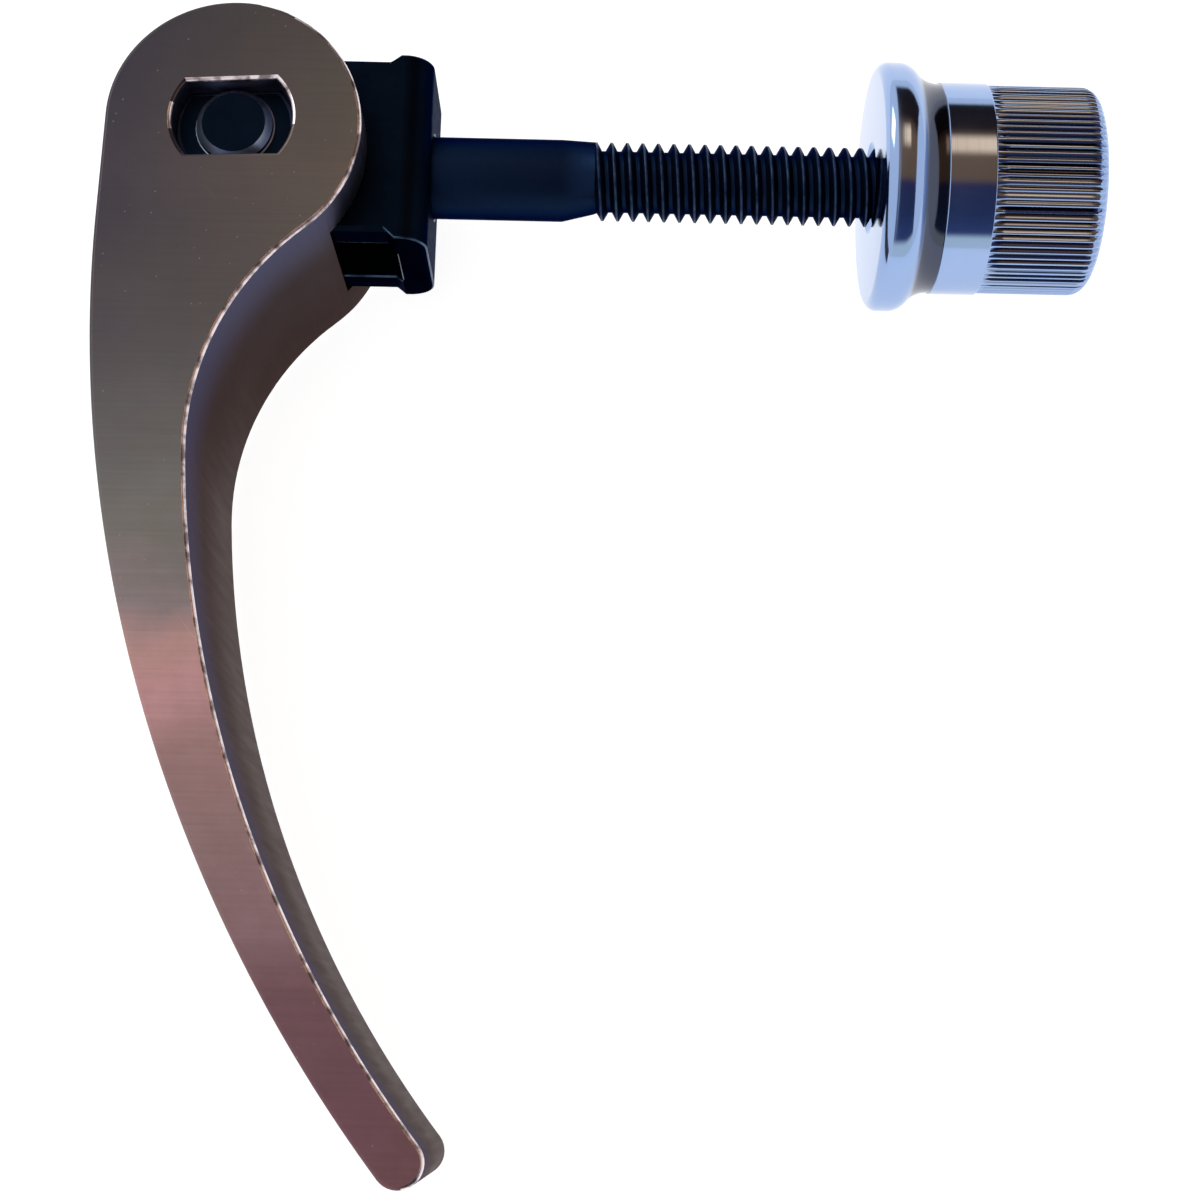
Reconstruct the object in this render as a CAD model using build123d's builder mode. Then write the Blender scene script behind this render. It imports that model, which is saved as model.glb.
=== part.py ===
from build123d import *
import os
from math import cos, radians, sin

# Cam lever: the quick-release clamp of a seat tube. A curved lever with a forked eye turns
# a cam pin in a folded bracket. The pin's eccentric neck draws an eye bolt through the
# bracket, and a flanged nut on the bolt's far end closes on what is clamped.
#
# Millimetres and degrees. The origin is on the bracket's bearing face, on the bolt's axis.
# +X runs along the bolt to the nut, +Z along the cam pin. The lever is closed.

# Cam pin: a bar with two flats, and an eccentric neck at mid-length
pin_diameter = 9.2
pin_across_flats = 6.1
pin_flat_angle = 3.5
pin_recess = 1.0
pin_edge = 0.3
pin_boss_diameter = 5.9
pin_boss_height = 0.9
pin_boss_edge = 0.5
neck_diameter = 6.0
throw = 1.5

# Eye bolt: 1/4-20 thread
thread_diameter = 6.35
thread_pitch = 1.27
shank_diameter = 6.6
shank_end = 10.5
taper_length = 2.6
bolt_point = 0.8
bolt_end_inset = 1.0
eye_radius = 6.7
eye_flat_relief = 0.05
eye_edge = 0.5
neck_side_gap = 0.285
neck_lead = 0.215

# Bracket: sheet steel folded to a U
sheet = 2.5
inner_bend_radius = 0.8
outer_bend_radius = 2.2
bracket_pin_wall = 2.65
bend_swell = 0.55
swell_slope = 0.6
pin_to_face = 14.9
bracket_edge = 0.25

# Lever: outline in the plane square to the cam pin
eye_wall = 5.1
cheek = 4.2
crown_end_angle = 45.8
heel_radius = 10.7
heel_angle = 95.6
throat_radius = 21.7
throat_angle = 54.3
back_straight = 8.3
lever_reach = 78.3
back_angle = 40.2
tip_width = 3.65
lever_lean_angle = 0.8
lever_bevel = 0.4
hole_bevel = 0.25

# Nut
clamp_gap = 35.7
nut_length = 17.8
flange_radius = 10.0
flange_face_round = 0.9
flange_land = 0.8
flange_back_round = 1.8
flange_back_angle = 52
nut_waist_radius = 8.4
nut_waist_land = 0.1
nut_collar_radius = 8.5
nut_collar_length = 3.8
nut_knurl_radius = 8.35
nut_end_round = 1.2
nut_mouth_bevel = 0.5

# Lock ring: nylon insert crimped into the nut's outer end
ring_wall = 1.9
ring_length = 3.0
ring_lip = 0.5

# Clearances
pin_clearance = 0.05
thread_clearance = 0.05
ring_clearance = 0.05
shank_clearance = 0.12
eye_side_clearance = 0.2
fork_side_clearance = 0.15
fork_end_clearance = 0.92

# Worked out from the above
pin_hole_diameter = pin_diameter + 2 * pin_clearance
pin_hole_flats = pin_across_flats + 2 * pin_clearance
eye_thickness = shank_diameter - 2 * eye_flat_relief
thread_depth = 0.55 * thread_pitch
groove_opening = 7 / 8 * thread_pitch
bracket_gap = eye_thickness + 2 * eye_side_clearance
bracket_width = bracket_gap + 2 * sheet
bracket_end_radius = pin_hole_diameter / 2 + bracket_pin_wall
bracket_length = pin_to_face + bracket_end_radius
base_half_height = bracket_end_radius + bend_swell
fork_gap = bracket_width + 2 * fork_side_clearance
crown_radius = pin_hole_diameter / 2 + eye_wall
fork_radius = crown_radius + fork_end_clearance
lever_thickness = fork_gap + 2 * cheek
back_radius = (lever_reach - back_straight) / sin(radians(back_angle))
pin_length = lever_thickness - 2 * (pin_recess + pin_boss_height)
eye_x = -pin_to_face - throw * cos(radians(pin_flat_angle)) - neck_lead
bore_radius = thread_diameter / 2 + thread_clearance
nut_end = clamp_gap + nut_length


def pin_plane(height):
    """The plane square to the cam pin at this height, its x axis along the pin's flats."""
    along_flats = (cos(radians(pin_flat_angle)), sin(radians(pin_flat_angle)), 0)
    return Plane(origin=(-pin_to_face, 0, height), x_dir=along_flats, z_dir=(0, 0, 1))


# Lever: one forged bar. Crown and heel go round the eye, the throat turns the bar outwards,
# and grip and back run down to a thin round tip.
lever_x = (cos(radians(lever_lean_angle)), -sin(radians(lever_lean_angle)), 0)
lever_side = (-pin_to_face, 0, -lever_thickness / 2)
lever_plane = Plane(origin=lever_side, x_dir=lever_x, z_dir=(0, 0, 1))

with BuildPart() as lever:
    with BuildSketch(lever_plane):
        with BuildLine():
            crown = CenterArc((0, 0), crown_radius, crown_end_angle, 180 - crown_end_angle)
            heel = JernArc(crown @ 0, -(crown % 0), heel_radius, -heel_angle)
            throat = JernArc(heel @ 1, heel % 1, throat_radius, throat_angle)
            straight = Line(crown @ 1, crown @ 1 - Vector(0, back_straight))
            back = JernArc(straight @ 1, straight % 1, back_radius, back_angle)
            across_tip = (back % 1).rotate(Axis.Z, 90)
            tip_corner = back @ 1 + across_tip * tip_width
            TangentArc(back @ 1, tip_corner, tangent=back % 1)
            TangentArc(throat @ 1, tip_corner, tangent=throat % 1)
        make_face()
    extrude(amount=lever_thickness)
    faces_across = lever.faces().filter_by(Axis.Z)
    chamfer(faces_across.edges(), lever_bevel)
    # The fork is milled round the pin's axis and leaves a web below the eye
    with BuildSketch(pin_plane(-fork_gap / 2)):
        Circle(fork_radius)
    extrude(amount=fork_gap, mode=Mode.SUBTRACT)
    # The cam pin's hole keeps the pin from turning in the lever
    with BuildSketch(pin_plane(-lever_thickness / 2)):
        Circle(pin_hole_diameter / 2)
        Rectangle(pin_hole_diameter, pin_hole_flats, mode=Mode.INTERSECT)
    extrude(amount=lever_thickness, mode=Mode.SUBTRACT)
    outer_faces = lever.faces().filter_by(Axis.Z).sort_by(Axis.Z)
    rims = outer_faces[0].inner_wires() + outer_faces[-1].inner_wires()
    chamfer(rims.edges(), hole_bevel)

# Cam pin: the ends fill the lever's flatted holes, their round sides run in the bracket,
# and the neck carries the eye bolt. A round boss stands on each end.
with BuildPart() as cam_pin:
    with BuildSketch(pin_plane(-pin_length / 2)):
        Circle(pin_diameter / 2)
        Rectangle(pin_diameter, pin_across_flats, mode=Mode.INTERSECT)
    extrude(amount=pin_length)
    chamfer(cam_pin.faces().filter_by(Axis.Z).edges(), pin_edge)
    with Locations(pin_plane(0)):
        Cylinder(pin_boss_diameter / 2, pin_length + 2 * pin_boss_height)
    pin_faces = cam_pin.faces().filter_by(Axis.Z).sort_by(Axis.Z)
    boss_faces = ShapeList([pin_faces[0], pin_faces[-1]])
    chamfer(boss_faces.edges(), pin_boss_edge)
    with BuildSketch(pin_plane(-bracket_gap / 2)):
        Circle(pin_diameter)
        with Locations((-throw, 0)):
            Circle(neck_diameter / 2, mode=Mode.SUBTRACT)
    extrude(amount=bracket_gap, mode=Mode.SUBTRACT)

# Bracket: a U bent from one strip. Its base bears on the clamped part, and the two bends
# stand a little proud of the walls, as folded steel swells.
with BuildPart() as bracket:
    with BuildSketch(Plane.XZ):
        Rectangle(bracket_length, bracket_width, align=(Align.MAX, Align.CENTER))
        outer_bends = vertices().sort_by(Axis.X)[-2:]
        fillet(outer_bends, outer_bend_radius)
    extrude(amount=base_half_height, both=True)
    with BuildSketch(Plane.XZ.shift_origin((-sheet, 0, 0))):
        Rectangle(bracket_length, bracket_gap, align=(Align.MAX, Align.CENTER))
        inner_bends = vertices().sort_by(Axis.X)[-2:]
        fillet(inner_bends, inner_bend_radius)
    extrude(amount=base_half_height, both=True, mode=Mode.SUBTRACT)
    # Side view: round ends about the pin, straight walls, and the swollen base
    with BuildSketch(Plane.XY):
        with BuildLine():
            end = CenterArc((-pin_to_face, 0), bracket_end_radius, 90, 180)
            upper = Polyline(
                end @ 0,
                (-sheet - swell_slope, bracket_end_radius),
                (-sheet, base_half_height),
                (0, base_half_height),
            )
            lower = Polyline(
                end @ 1,
                (-sheet - swell_slope, -bracket_end_radius),
                (-sheet, -base_half_height),
                (0, -base_half_height),
            )
            Line(upper @ 1, lower @ 1)
        make_face()
    extrude(amount=bracket_width / 2, both=True, mode=Mode.INTERSECT)
    with Locations((-pin_to_face, 0, 0)):
        Cylinder(pin_hole_diameter / 2, bracket_width, mode=Mode.SUBTRACT)
    with BuildSketch(Plane.YZ):
        Circle(shank_diameter / 2 + shank_clearance)
    extrude(amount=-sheet - inner_bend_radius, mode=Mode.SUBTRACT)
    walls = bracket.faces().filter_by(Axis.Z).sort_by(Axis.Z)
    outer_walls = ShapeList([walls[0], walls[-1]])
    ends_and_hole_rims = outer_walls.edges().filter_by(GeomType.CIRCLE)
    chamfer(ends_and_hole_rims, bracket_edge)

# Eye bolt: the eye's flatted hole lets the pin's ends through and holds the neck, the
# plain shank runs in the bracket, and the thread takes the nut. The thread is drawn as
# rings of its own pitch and depth.
bolt_end = nut_end - bolt_end_inset
thread_start = shank_end + taper_length
groove_count = int((bolt_end - bolt_point - thread_start) / thread_pitch)
grooves_middle = thread_start + groove_count * thread_pitch / 2
eye_hole_diameter = pin_diameter + 4 * pin_clearance
eye_hole_across = neck_diameter + 2 * neck_side_gap

with BuildPart() as eye_bolt:
    with Locations((eye_x, 0, 0)):
        Cylinder(eye_radius, eye_thickness)
    chamfer(eye_bolt.faces().filter_by(Axis.Z).edges(), eye_edge)
    with BuildSketch(Plane.XY):
        with BuildLine():
            Polyline(
                (eye_x, 0),
                (eye_x, shank_diameter / 2),
                (shank_end, shank_diameter / 2),
                (thread_start, thread_diameter / 2),
                (bolt_end - bolt_point, thread_diameter / 2),
                (bolt_end, thread_diameter / 2 - bolt_point),
                (bolt_end, 0),
                close=True,
            )
        make_face()
        with Locations((grooves_middle, thread_diameter / 2)):
            with GridLocations(thread_pitch, 1, groove_count, 1):
                Trapezoid(
                    groove_opening,
                    thread_depth,
                    60,
                    rotation=180,
                    align=(Align.CENTER, Align.MIN),
                    mode=Mode.SUBTRACT,
                )
    revolve(axis=Axis.X)
    with BuildSketch(Plane.XY):
        with Locations((eye_x, 0)):
            Circle(eye_hole_diameter / 2)
            Rectangle(eye_hole_across, eye_hole_diameter, mode=Mode.INTERSECT)
    extrude(amount=eye_thickness, both=True, mode=Mode.SUBTRACT)

# Nut: a flange with a round rim, a hollow throat, a smooth collar and a grip
ring_radius = bore_radius + ring_wall
pocket_radius = ring_radius + ring_clearance
pocket_start = nut_end - ring_lip - ring_length - 2 * ring_clearance
rim_fall = flange_back_round * (1 - cos(radians(flange_back_angle)))
throat_fall = flange_radius - rim_fall - nut_waist_radius
nut_throat_radius = throat_fall / (1 - cos(radians(flange_back_angle)))

with BuildPart() as nut:
    with BuildSketch(Plane.XY):
        with BuildLine():
            face = Line(
                (clamp_gap, bore_radius + nut_mouth_bevel),
                (clamp_gap, flange_radius - flange_face_round),
            )
            front = JernArc(face @ 1, face % 1, flange_face_round, -90)
            land = Line(front @ 1, front @ 1 + Vector(flange_land, 0))
            rim = JernArc(land @ 1, land % 1, flange_back_round, -flange_back_angle)
            throat = JernArc(rim @ 1, rim % 1, nut_throat_radius, flange_back_angle)
            collar_start = (throat @ 1).X + nut_waist_land
            collar_end = collar_start + nut_collar_length
            body = Polyline(
                throat @ 1,
                (collar_start, nut_waist_radius),
                (collar_start, nut_collar_radius),
                (collar_end, nut_collar_radius),
                (collar_end, nut_knurl_radius),
                (nut_end - nut_end_round, nut_knurl_radius),
            )
            end = JernArc(body @ 1, (1, 0), nut_end_round, -90)
            Polyline(
                end @ 1,
                (nut_end, pocket_radius - ring_lip),
                (nut_end - ring_lip, pocket_radius - ring_lip),
                (nut_end - ring_lip, pocket_radius),
                (pocket_start, pocket_radius),
                (pocket_start, bore_radius),
                (clamp_gap + nut_mouth_bevel, bore_radius),
                face @ 0,
            )
        make_face()
    revolve(axis=Axis.X)

# Lock ring: grips the thread so that the nut keeps its place
with BuildPart() as lock_ring:
    with BuildSketch(Plane.YZ.offset(pocket_start + ring_clearance)):
        Circle(ring_radius)
        Circle(bore_radius, mode=Mode.SUBTRACT)
    extrude(amount=ring_length)

os.makedirs("parts", exist_ok=True)

lever.part.label = "lever"
export_step(lever.part, "parts/lever.step")

cam_pin.part.label = "cam_pin"
export_step(cam_pin.part, "parts/cam_pin.step")

bracket.part.label = "bracket"
export_step(bracket.part, "parts/bracket.step")

eye_bolt.part.label = "eye_bolt"
export_step(eye_bolt.part, "parts/eye_bolt.step")

nut.part.label = "nut"
export_step(nut.part, "parts/nut.step")

lock_ring.part.label = "lock_ring"
export_step(lock_ring.part, "parts/lock_ring.step")
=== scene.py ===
import bmesh
import bpy
import math
from mathutils import Matrix, Vector


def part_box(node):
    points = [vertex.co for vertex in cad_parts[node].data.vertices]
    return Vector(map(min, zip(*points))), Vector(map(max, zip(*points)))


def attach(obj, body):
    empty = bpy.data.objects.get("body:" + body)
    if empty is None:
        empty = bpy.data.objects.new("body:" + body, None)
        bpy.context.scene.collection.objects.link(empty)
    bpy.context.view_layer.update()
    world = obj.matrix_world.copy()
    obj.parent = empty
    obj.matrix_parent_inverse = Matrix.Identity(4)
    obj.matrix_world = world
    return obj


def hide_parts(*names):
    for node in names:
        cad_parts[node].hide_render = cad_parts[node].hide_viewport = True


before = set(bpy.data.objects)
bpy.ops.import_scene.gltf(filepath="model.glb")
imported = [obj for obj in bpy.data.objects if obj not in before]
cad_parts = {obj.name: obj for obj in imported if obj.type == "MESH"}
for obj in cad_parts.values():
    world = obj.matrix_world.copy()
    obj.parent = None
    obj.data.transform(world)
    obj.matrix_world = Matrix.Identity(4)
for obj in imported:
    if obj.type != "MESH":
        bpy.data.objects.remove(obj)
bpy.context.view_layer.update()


# ---- Lever -------------------------------------------------------------------------------
# One forged steel bar with a forked eye, ground flat on both sides, its outline dressed
# on a belt, then plated in black nickel. The fork is milled and the flatted hole is broached.
# Along some of the broken edges a bright line is painted highlight.

MM = 0.001


def srgb(code):
    """A colour written as six hex digits, as the shaders' linear colour."""
    parts = [int(code[i:i + 2], 16) / 255 for i in (0, 2, 4)]
    return [p / 12.92 if p < 0.04045 else ((p + 0.055) / 1.055) ** 2.4 for p in parts] + [1]


def add(tree, kind, sockets=None, **settings):
    """Adds a node. A socket takes a value, an output, or a node, for its first output.

    Map Range takes the range in sockets 1 and 2 and gives the one in 3 and 4. A colour Mix
    has its two colours in sockets 6 and 7, and their mix in output 2.
    """
    made = tree.nodes.new(kind)
    for name, value in settings.items():
        setattr(made, name, value)
    for name, value in (sockets or {}).items():
        if isinstance(value, bpy.types.Node):
            value = value.outputs[0]
        if isinstance(value, bpy.types.NodeSocket):
            tree.links.new(value, made.inputs[name])
        else:
            made.inputs[name].default_value = value
    return made


def new_material(name):
    """An empty material, its node tree, and its shader, already joined to the output."""
    made = bpy.data.materials.new(name)
    made.use_nodes = True
    made.node_tree.nodes.clear()
    shader = add(made.node_tree, "ShaderNodeBsdfPrincipled")
    add(made.node_tree, "ShaderNodeOutputMaterial", {"Surface": shader.outputs[0]})
    return made, made.node_tree, shader


def set_stops(ramp, stops):
    """Gives a colour ramp its colours, each with its place from 0 to 1."""
    while len(ramp.color_ramp.elements) < len(stops):
        ramp.color_ramp.elements.new(0.5)
    for element, (place, code) in zip(ramp.color_ramp.elements, stops):
        element.position, element.color = place, srgb(code)


def bend(line, heading, radius, turn, step=2.5):
    """Goes on from the line's last point by an arc, turning left by turn degrees."""
    count = max(2, math.ceil(abs(turn) / step))
    side = math.copysign(1, turn)
    x, y = line[-1]
    cx = x - side * radius * math.sin(math.radians(heading))
    cy = y + side * radius * math.cos(math.radians(heading))
    for i in range(1, count + 1):
        at = math.radians(heading + turn * i / count)
        line.append((cx + side * radius * math.sin(at), cy - side * radius * math.cos(at)))
    return heading + turn


def placed(points, angle, origin):
    """The flat points turned by angle degrees and moved to the origin."""
    turned = Matrix.Rotation(math.radians(angle), 2)
    return [turned @ Vector(p) + Vector(origin) for p in points]


def prism(name, outline, low, high):
    """A closed bar with this outline, from low to high along Z. Millimetres come in."""
    mesh = bpy.data.meshes.new(name)
    work = bmesh.new()
    base = work.faces.new([work.verts.new((x * MM, y * MM, low * MM)) for x, y in outline])
    grown = bmesh.ops.extrude_face_region(work, geom=[base])["geom"]
    top = [v for v in grown if isinstance(v, bmesh.types.BMVert)]
    bmesh.ops.translate(work, verts=top, vec=(0, 0, (high - low) * MM))
    bmesh.ops.recalc_face_normals(work, faces=work.faces)
    work.to_mesh(mesh)
    work.free()
    made = bpy.data.objects.new(name, mesh)
    bpy.context.scene.collection.objects.link(made)
    return made


def applied(piece):
    """Turns the piece's modifiers into its own plain mesh."""
    bpy.context.view_layer.update()
    done = piece.evaluated_get(bpy.context.evaluated_depsgraph_get())
    mesh = bpy.data.meshes.new_from_object(done)
    piece.modifiers.clear()
    piece.data = mesh
    return piece


def place_of(part):
    """Where a corner lies, or the middle of an edge or a face."""
    corners = [part] if isinstance(part, bmesh.types.BMVert) else part.verts
    return tuple(sum((v.co for v in corners), Vector()) / len(corners))


def put_in_order(work):
    """Numbers everything by its place, because cutting and bridging number by chance."""
    for face in [f for f in work.faces if len(f.verts) > 4]:
        ring, material = list(face.verts), face.material_index
        first = ring.index(min(ring, key=place_of))
        work.faces.remove(face)
        work.faces.new(ring[first:] + ring[:first]).material_index = material
    for parts in (work.verts, work.edges, work.faces):
        for number, part in enumerate(sorted(parts, key=place_of)):
            part.index = number
        parts.sort()


def cut(piece, tool):
    """Takes the tool's volume out of the piece, and the tool away."""
    step = piece.modifiers.new("cut", "BOOLEAN")
    step.operation, step.solver, step.object = "DIFFERENCE", "EXACT", tool
    applied(piece)
    bpy.data.objects.remove(tool)
    return piece


lever_low, lever_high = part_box("lever")
pin_low, pin_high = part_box("cam_pin")
pin_x = (pin_low.x + pin_high.x) / 2 / MM
half_lever = lever_high.z / MM
CROWN_RADIUS, FORK_RADIUS, FORK_CLEARANCE = 9.75, 10.67, 0.15
half_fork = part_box("bracket")[1].z / MM + FORK_CLEARANCE

# The outline goes over the crown, down the straight back and its long bend to the round
# tip, and from the crown again by the heel and the throat along the grip's inner side.
CROWN_END, LEAN = 45.8, -0.8
HEEL, THROAT, BACK = (10.7, 95.6), (21.7, 54.3), (108.45, 40.2)
STRAIGHT_BACK, TIP_WIDTH = 8.3, 3.65
start = math.radians(CROWN_END)
outer = [(CROWN_RADIUS * math.cos(start), CROWN_RADIUS * math.sin(start))]
inner = list(outer)
heading = bend(outer, CROWN_END + 90, CROWN_RADIUS, 180 - CROWN_END)
outer.append((outer[-1][0], outer[-1][1] - STRAIGHT_BACK))
heading = bend(outer, heading, *BACK, step=0.6)
bend(outer, heading, TIP_WIDTH / 2, 180, step=10)
heading = bend(inner, CROWN_END - 90, HEEL[0], -HEEL[1])
heading = bend(inner, heading, *THROAT)
chord = Vector(outer[-1]) - Vector(inner[-1])
half_turn = math.remainder(math.degrees(math.atan2(chord.y, chord.x)) - heading, 360)
grip_radius = chord.length / 2 / abs(math.sin(math.radians(half_turn)))
bend(inner, heading, grip_radius, 2 * half_turn, step=0.7)
outline = placed(outer + inner[-2:0:-1], LEAN, (pin_x, 0))

HOLE_ACROSS, HOLE_FLATS, FLAT_ANGLE = 9.3, 6.2, 3.5
round_hole, half_flats = HOLE_ACROSS / 2, HOLE_FLATS / 2
corner = math.degrees(math.asin(half_flats / round_hole))
hole = [(round_hole * math.cos(math.radians(corner)), -half_flats)]
bend(hole, 90 - corner, round_hole, 2 * corner)
hole.append((-hole[0][0], half_flats))
bend(hole, 270 - corner, round_hole, 2 * corner)
hole = placed(hole[:-1], FLAT_ANGLE, (pin_x, 0))
disc = [(FORK_RADIUS, 0)]
bend(disc, 90, FORK_RADIUS, 360)
disc = placed(disc[:-1], 0, (pin_x, 0))

lever = prism("lever_bar", outline, -half_lever, half_lever)
cut(lever, prism("fork_cutter", disc, -half_fork, half_fork))
cut(lever, prism("broach", hole, -half_lever - 1, half_lever + 1))

FACE, FLANK, EDGE = 0, 1, 2
EDGE_WIDTH, EDGE_STEPS = 0.27, 3
shape = bmesh.new()
shape.from_mesh(lever.data)
bmesh.ops.remove_doubles(shape, verts=shape.verts, dist=0.06 * MM)
bmesh.ops.dissolve_limit(shape, angle_limit=math.radians(0.2), verts=shape.verts,
                         edges=shape.edges)
weight = shape.edges.layers.float.new("bevel_weight_edge")
for face in shape.faces:
    face.material_index = FACE if abs(face.normal.z) > 0.9 else FLANK
for edge in shape.edges:
    flat = [f for f in edge.link_faces if f.material_index == FACE]
    outside = all(abs(abs(v.co.z) - half_lever * MM) < 0.01 * MM for v in edge.verts)
    if outside and len(flat) == 1:
        edge[weight] = 1
shape.to_mesh(lever.data)
shape.free()
for _ in (FACE, FLANK, EDGE):
    lever.data.materials.append(None)
rounding = lever.modifiers.new("broken edges", "BEVEL")
rounding.limit_method = "WEIGHT"
rounding.width, rounding.segments = EDGE_WIDTH * MM, EDGE_STEPS
rounding.material, rounding.use_clamp_overlap = EDGE, False
applied(lever)
shape = bmesh.new()
shape.from_mesh(lever.data)
put_in_order(shape)
shape.to_mesh(lever.data)
shape.free()

# The inner edge, and round the hole the upper flat, the left end and the tip of the right
# end, take the bright edge, picked by the way each face points: a painted highlight.
# Elsewhere the edge is as the face.
for face in lever.data.polygons:
    if face.material_index != EDGE:
        continue
    way = face.normal.xy.normalized()
    from_pin = face.center.xy - Vector((pin_x * MM, 0))
    if from_pin.length < (round_hole + 0.4) * MM:
        bright = way.y < -0.9 or (way.x < 0 and way.y < 0.1) or way.x > 0.97
    else:
        bright = face.normal.x > 0.12
    face.material_index = EDGE if bright else FACE


def smooth_round(piece, angle=32):
    """Smooth shading with sharp edges, and the big flat faces left flat."""
    mesh = piece.data
    mesh.shade_smooth()
    mesh.set_sharp_from_angle(angle=math.radians(angle))
    for face in mesh.polygons:
        if len(face.vertices) > 12:
            face.use_smooth = False


smooth_round(lever)

# Black nickel, ground and lightly polished: a dark warm grey gone satin. Along the bar it
# runs into a rosy band and a plum grip end: painted reflection over the plate's grey.
nickel, tree, shader = new_material("black_nickel_ground_face")
place = add(tree, "ShaderNodeTexCoord").outputs["Object"]
blotch = add(tree, "ShaderNodeTexNoise", {"Vector": place, "Scale": 120, "Detail": 5})
split = add(tree, "ShaderNodeSeparateXYZ", {0: place})
wander = add(tree, "ShaderNodeMath", {0: blotch.outputs["Fac"], 1: 0.009},
             operation="MULTIPLY")
along = add(tree, "ShaderNodeMath", {0: split.outputs["Y"], 1: wander.outputs[0]},
            operation="ADD")
share = add(tree, "ShaderNodeMapRange", {"Value": along.outputs[0], 1: 0.0145, 2: -0.0745})
tone_and_painted_reflection = add(tree, "ShaderNodeValToRGB", {"Fac": share.outputs[0]})
stops = [(0.0, "504a45"), (0.08, "564f49"), (0.16, "61574f"), (0.26, "5d5650"),
         (0.34, "615c59"), (0.43, "6c6a67"), (0.50, "736f6b"), (0.535, "86797a"),
         (0.575, "b58d89"), (0.615, "b88b8c"), (0.66, "9c7a79"), (0.74, "8f7374"),
         (0.80, "8b6e72"), (0.86, "75555c"), (0.93, "70505a"), (1.0, "755358")]
set_stops(tone_and_painted_reflection, stops)
mottle = add(tree, "ShaderNodeTexNoise",
             {"Vector": place, "Scale": 420, "Detail": 6, "Roughness": 0.65})
stain = add(tree, "ShaderNodeMapRange", {"Value": mottle.outputs["Fac"], 1: 0.35, 2: 0.75,
                                         3: 0, 4: 0.16})
tone = add(tree, "ShaderNodeMix", {"Factor": stain.outputs[0], 6: tone_and_painted_reflection.outputs[0],
                                   7: srgb("6a584e")}, data_type="RGBA")
# Painted shade: towards the eye, the outer side is darker and colder than the inner side.
outer_side = add(tree, "ShaderNodeMapRange", {"Value": split.outputs["X"], 1: -0.004,
                                              2: -0.024, 3: 0.0, 4: 1.0})
upper_end = add(tree, "ShaderNodeMapRange", {"Value": share.outputs[0], 1: 0.46, 2: 0.2,
                                             3: 0.0, 4: 1.0})
outer_shade_share = add(tree, "ShaderNodeMath", {0: outer_side.outputs[0], 1: upper_end.outputs[0]},
             operation="MULTIPLY")
outer_painted_shade = add(tree, "ShaderNodeMix", {"Factor": outer_shade_share.outputs[0], 6: tone.outputs[2],
                                   7: srgb("b4bae0")}, data_type="RGBA", blend_type="MULTIPLY")
# Lines of the grinding belt, 0.3 mm apart, run across the bar.
belt_way = add(tree, "ShaderNodeMapping", {"Vector": place, "Scale": (90, 3300, 1)})
ground = add(tree, "ShaderNodeTexNoise", {"Vector": belt_way.outputs[0], "Scale": 1,
                                          "Detail": 3})
ground_share = add(tree, "ShaderNodeMapRange", {"Value": ground.outputs["Fac"], 1: 0.3,
                                                2: 0.7, 3: 0.0, 4: 0.13})
lined = add(tree, "ShaderNodeMix", {"Factor": ground_share.outputs[0], 6: outer_painted_shade.outputs[2],
                                    7: srgb("3a3438")}, data_type="RGBA")
# A few hair scratches lie aslant, and pale specks show where the plate is pierced.
stretched = add(tree, "ShaderNodeMapping",
                {"Vector": place, "Scale": (1 / 2200, 1 / 55, 1), "Rotation": (0, 0, 0.66)},
                vector_type="TEXTURE")
hairs = add(tree, "ShaderNodeTexNoise", {"Vector": stretched.outputs[0], "Scale": 1,
                                         "Detail": 1})
scratch = add(tree, "ShaderNodeMapRange", {"Value": hairs.outputs["Fac"], 1: 0.72, 2: 0.8,
                                           3: 0.0, 4: 0.3})
specks = add(tree, "ShaderNodeTexVoronoi", {"Vector": place, "Scale": 900})
pierced = add(tree, "ShaderNodeMapRange", {"Value": specks.outputs["Distance"], 1: 0.075,
                                           2: 0.035, 3: 0.0, 4: 0.2})
flaws = add(tree, "ShaderNodeMath", {0: scratch.outputs[0], 1: pierced.outputs[0]},
            operation="MAXIMUM")
worn = add(tree, "ShaderNodeMix", {"Factor": flaws.outputs[0], 6: lined.outputs[2],
                                   7: srgb("b9aca6")}, data_type="RGBA")
tree.links.new(worn.outputs[2], shader.inputs["Base Color"])
shader.inputs["Metallic"].default_value = 1
rough = add(tree, "ShaderNodeMapRange", {"Value": mottle.outputs["Fac"], 1: 0.3, 2: 0.7,
                                         3: 0.28, 4: 0.4})
tree.links.new(rough.outputs[0], shader.inputs["Roughness"])
grain = add(tree, "ShaderNodeTexNoise", {"Vector": place, "Scale": 2600, "Detail": 3})
bump = add(tree, "ShaderNodeBump", {"Height": grain.outputs["Fac"], "Strength": 0.12,
                                    "Distance": 0.00005})
tree.links.new(bump.outputs[0], shader.inputs["Normal"])

# The flanks were dressed on a belt across the bar. Their darker plum brown is painted shade,
# and the steel-blue band beside the upper edge is painted reflection.
flank, tree, shader = new_material("black_nickel_belt_dressed_painted_shade")
place = add(tree, "ShaderNodeTexCoord").outputs["Object"]
belt = add(tree, "ShaderNodeMapping", {"Vector": place, "Scale": (1400, 1400, 120)})
belt_lines = add(tree, "ShaderNodeTexNoise", {"Vector": belt.outputs[0], "Scale": 1,
                                              "Detail": 4})
cloud = add(tree, "ShaderNodeTexNoise", {"Vector": place, "Scale": 110, "Detail": 4})
dark = add(tree, "ShaderNodeMix", {"Factor": cloud.outputs["Fac"], 6: srgb("3e3a3d"),
                                   7: srgb("545053")}, data_type="RGBA")
height = add(tree, "ShaderNodeSeparateXYZ", {0: place})
near_top = add(tree, "ShaderNodeMapRange", {"Value": height.outputs["Z"], 1: 0.002,
                                            2: 0.0095, 3: 0.0, 4: 0.55},
               interpolation_type="SMOOTHSTEP")
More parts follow.
